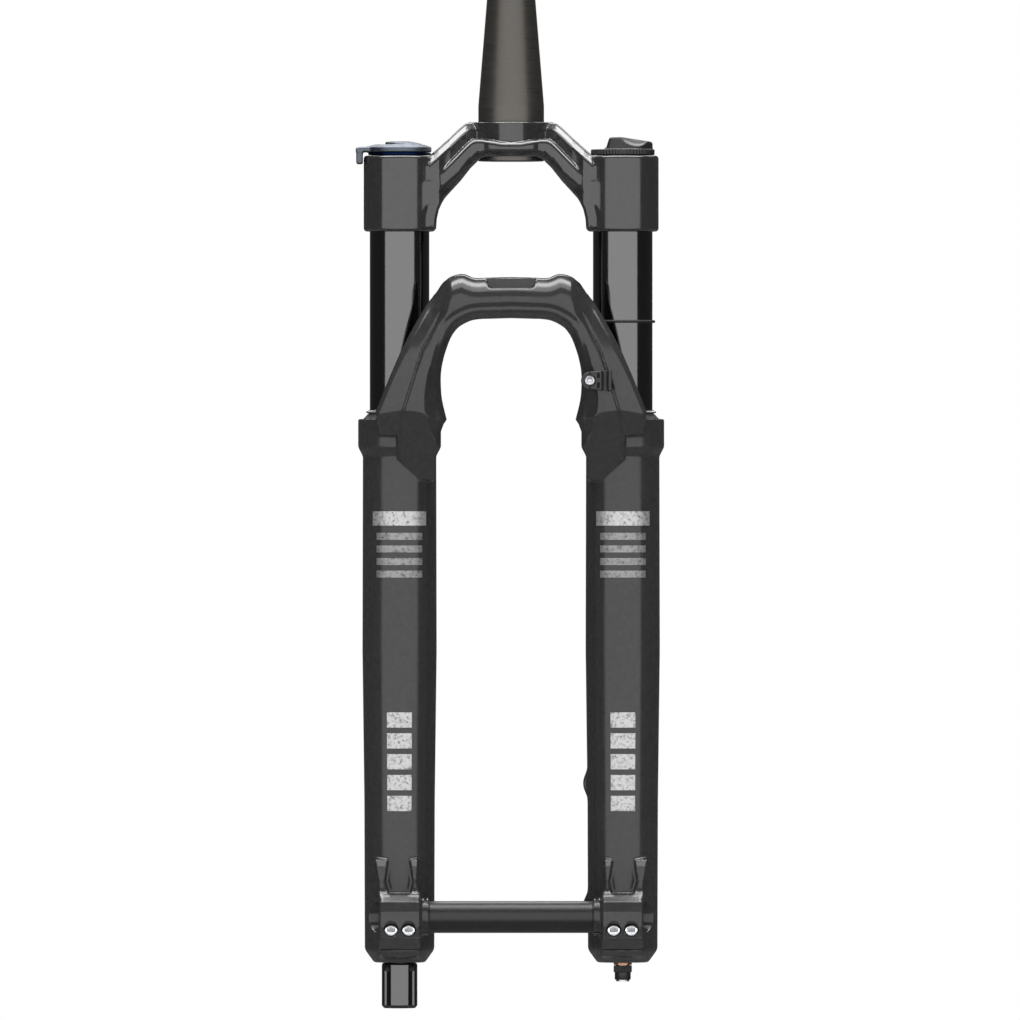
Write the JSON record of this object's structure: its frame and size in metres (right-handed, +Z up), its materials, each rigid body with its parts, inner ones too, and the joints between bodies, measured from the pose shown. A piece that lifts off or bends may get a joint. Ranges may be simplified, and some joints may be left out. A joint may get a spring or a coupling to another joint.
{
  "type": "suspension fork",
  "caption": "Telescopic bicycle suspension fork with tapered steerer, forged crown, sliding lower casting with a front arch, pinch clamps for a through axle, and rear posts for a disc brake.",
  "frame": {"origin": "on the steerer axis, in the plane of the crown race seat", "axes": "+Z up along the steerer, -Y towards the front of the fork, +X towards the rider's left, which is the air-spring and brake side"},
  "size_m": [0.1863, 0.0894, 0.736],
  "materials": {
    "gloss_black_cast": "gloss",
    "gloss_black_crown": "gloss",
    "anodised_black": "polished",
    "brushed_dark": "satin",
    "silver_blue": "satin",
    "blue_anodised": "satin",
    "satin_black": "satin",
    "bare_aluminium": "satin",
    "bolt_steel": "polished",
    "spring_steel": "satin",
    "copper": "satin",
    "brass": "satin",
    "rubber": "matte",
    "foam": "matte",
    "bushing": "matte",
    "gloss_knob": "gloss",
    "black_plastic": "satin",
    "orange_plastic": "satin"
  },
  "bodies": {
    "uppers": {"steerer_tube": "brushed_dark", "crown": "gloss_black_crown", "stanchion_air": "anodised_black", "seal_head_air": "bare_aluminium", "retaining_ring_air": "spring_steel", "stanchion_damper": "anodised_black", "seal_head_damper": "bare_aluminium", "retaining_ring_damper": "spring_steel", "damper_top_cap": "blue_anodised", "damper_tube": "bare_aluminium", "compression_valve": "brass", "floating_piston_spring": "spring_steel", "air_top_cap": "satin_black", "air_valve_stem": "brass", "volume_spacer_1": "orange_plastic", "volume_spacer_2": "orange_plastic"},
    "lowers": {"lower_casting": "gloss_black_cast", "hose_guide": "black_plastic", "hose_guide_bolt": "bolt_steel", "wiper_seal_air": "rubber", "garter_spring_air": "spring_steel", "foam_ring_air": "foam", "upper_bushing_air": "bushing", "lower_bushing_air": "bushing", "bottom_out_bumper_air": "rubber", "crush_washer_air": "copper", "foot_nut_air": "satin_black", "wiper_seal_damper": "rubber", "garter_spring_damper": "spring_steel", "foam_ring_damper": "foam", "upper_bushing_damper": "bushing", "lower_bushing_damper": "bushing", "bottom_out_bumper_damper": "rubber", "crush_washer_damper": "copper", "foot_nut_damper": "bolt_steel", "pinch_bolt_air_1": "bolt_steel", "pinch_bolt_air_2": "bolt_steel", "pinch_bolt_damper_1": "bolt_steel", "pinch_bolt_damper_2": "bolt_steel", "damper_piston": "brass", "damper_shaft": "bolt_steel", "air_piston": "bare_aluminium", "air_piston_seal": "rubber", "top_out_bumper": "rubber", "air_shaft": "bolt_steel"},
    "compression_lever": {"compression_lever": "silver_blue", "compression_rod": "bare_aluminium"},
    "rebound_knob": {"rebound_knob": "gloss_knob", "rebound_rod": "bare_aluminium"},
    "air_valve_cap": {"air_valve_cap": "black_plastic"},
    "axle": {"axle": "satin_black"},
    "floating_piston": {"floating_piston": "bare_aluminium"},
    "travel_ring": {"travel_ring": "rubber"}
  },
  "joints": [
    {"name": "fork_travel", "type": "slide", "parent": "uppers", "child": "lowers", "axis": [0, 0, 1], "range_m": [0, 0.1], "stiffness_N_per_m": 9000, "springref_m": -0.01},
    {"name": "compression_turn", "type": "hinge", "parent": "uppers", "child": "compression_lever", "pos_m": [-0.0675, -0.017, -0.014], "axis": [0, 0, 1], "range_deg": [-90, 0]},
    {"name": "rebound_turn", "type": "hinge", "parent": "lowers", "child": "rebound_knob", "pos_m": [-0.0675, -0.017, -0.522], "axis": [0, 0, 1], "range_deg": [-180, 180]},
    {"name": "valve_cap_lift", "type": "slide", "parent": "uppers", "child": "air_valve_cap", "axis": [0, 0, 1], "range_m": [0, 0.04]},
    {"name": "axle_draw", "type": "slide", "parent": "lowers", "child": "axle", "axis": [-1, 0, 0], "range_m": [0, 0.165]},
    {"name": "floating_piston_slide", "type": "slide", "parent": "uppers", "child": "floating_piston", "axis": [0, 0, 1], "range_m": [0, 0.018], "deforming": ["floating_piston_spring"]},
    {"name": "travel_ring_slide", "type": "slide", "parent": "uppers", "child": "travel_ring", "axis": [0, 0, 1], "range_m": [0, 0.05]}
  ],
  "couplings": [
    {"joint": "floating_piston_slide", "follows": "fork_travel", "ratio": 0.17},
    {"joint": "travel_ring_slide", "follows": "fork_travel", "ratio": 0.48}
  ]
}
